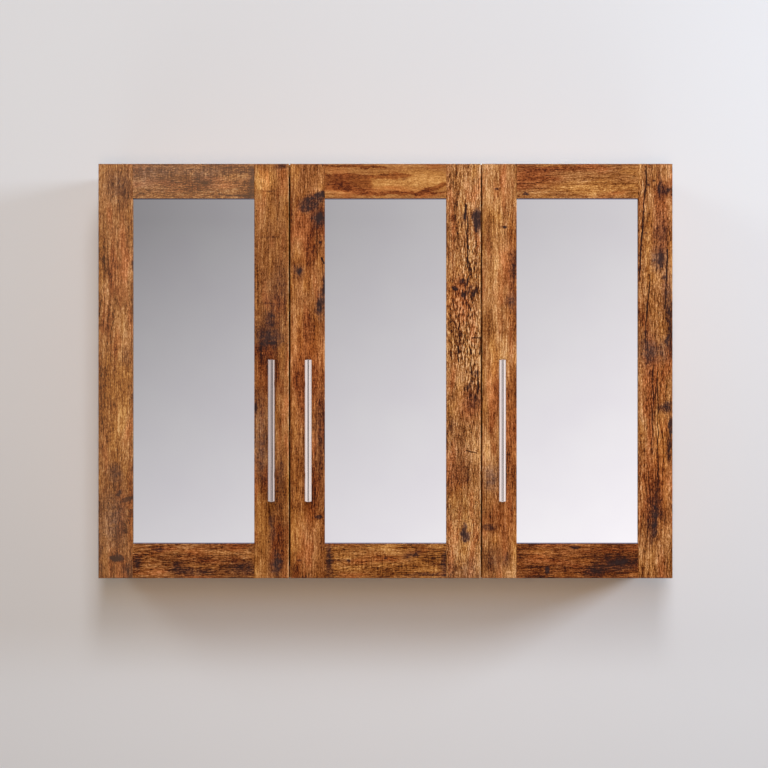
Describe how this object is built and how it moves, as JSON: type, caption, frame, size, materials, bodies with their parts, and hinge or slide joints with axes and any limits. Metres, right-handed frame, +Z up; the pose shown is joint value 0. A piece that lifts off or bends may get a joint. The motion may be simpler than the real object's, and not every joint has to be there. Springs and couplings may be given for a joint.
{
  "type": "bathroom mirror cabinet",
  "caption": "Wall-hung cabinet with mirror doors in rustic solid-wood frames, upright bar handles, shelves and concealed hinges.",
  "frame": {"origin": "midway between the two wall fixing holes, on the wall plane", "axes": "+X to the right seen from the room, +Y into the wall, +Z up"},
  "size_m": [0.8, 0.206, 0.578],
  "materials": {
    "door_wood": "waxed reclaimed hardwood with knots, cracks and saw marks, half matt",
    "carcass_board": "stained wood veneer, half matt",
    "back_board": "plain fibreboard, matt",
    "dowel_wood": "raw beech",
    "mirror_glass": "polished",
    "handle_steel": "fine brushed, nearly polished",
    "hinge_steel": "nickel plated",
    "fitting_zinc": "zinc plated",
    "bumper_plastic": "soft, matt"
  },
  "bodies": {
    "cabinet": {"left_side_panel": "carcass_board", "right_side_panel": "carcass_board", "top_panel": "carcass_board", "bottom_panel": "carcass_board", "partition_panel": "carcass_board", "back_panel": "back_board", "hanging_rail": "carcass_board", "wide_shelf_upper": "carcass_board", "wide_shelf_lower": "carcass_board", "narrow_shelf_upper": "carcass_board", "narrow_shelf_lower": "carcass_board", "shelf_pins": "fitting_zinc", "cam_locks": "fitting_zinc", "cam_bolts": "fitting_zinc", "dowels": "dowel_wood", "partition_screws": "fitting_zinc", "door_bumpers": "bumper_plastic", "hinge_arms": "hinge_steel", "hinge_pins": "hinge_steel", "hinge_plates": "hinge_steel", "hinge_plate_screws": "fitting_zinc", "hinge_arm_screws": "fitting_zinc"},
    "left_door": {"left_hinge_stile": "door_wood", "left_handle_stile": "door_wood", "left_top_rail": "door_wood", "left_bottom_rail": "door_wood", "left_mirror": "mirror_glass", "left_backing_board": "back_board", "left_handle_bar": "handle_steel", "left_handle_posts": "handle_steel", "left_handle_screws": "fitting_zinc", "left_hinge_cups": "hinge_steel", "left_cup_screws": "fitting_zinc"},
    "middle_door": {"middle_hinge_stile": "door_wood", "middle_handle_stile": "door_wood", "middle_top_rail": "door_wood", "middle_bottom_rail": "door_wood", "middle_mirror": "mirror_glass", "middle_backing_board": "back_board", "middle_handle_bar": "handle_steel", "middle_handle_posts": "handle_steel", "middle_handle_screws": "fitting_zinc", "middle_hinge_cups": "hinge_steel", "middle_cup_screws": "fitting_zinc"},
    "right_door": {"right_hinge_stile": "door_wood", "right_handle_stile": "door_wood", "right_top_rail": "door_wood", "right_bottom_rail": "door_wood", "right_mirror": "mirror_glass", "right_backing_board": "back_board", "right_handle_bar": "handle_steel", "right_handle_posts": "handle_steel", "right_handle_screws": "fitting_zinc", "right_hinge_cups": "hinge_steel", "right_cup_screws": "fitting_zinc"}
  },
  "joints": [
    {"name": "left_door_hinge", "type": "hinge", "parent": "cabinet", "child": "left_door", "pos_m": [-0.3898, -0.1645, -0.243], "axis": [0, 0, -1], "range_deg": [0, 95]},
    {"name": "middle_door_hinge", "type": "hinge", "parent": "cabinet", "child": "middle_door", "pos_m": [0.12313, -0.1645, -0.243], "axis": [0, 0, 1], "range_deg": [0, 95]},
    {"name": "right_door_hinge", "type": "hinge", "parent": "cabinet", "child": "right_door", "pos_m": [0.3898, -0.1645, -0.243], "axis": [0, 0, 1], "range_deg": [0, 95]}
  ]
}
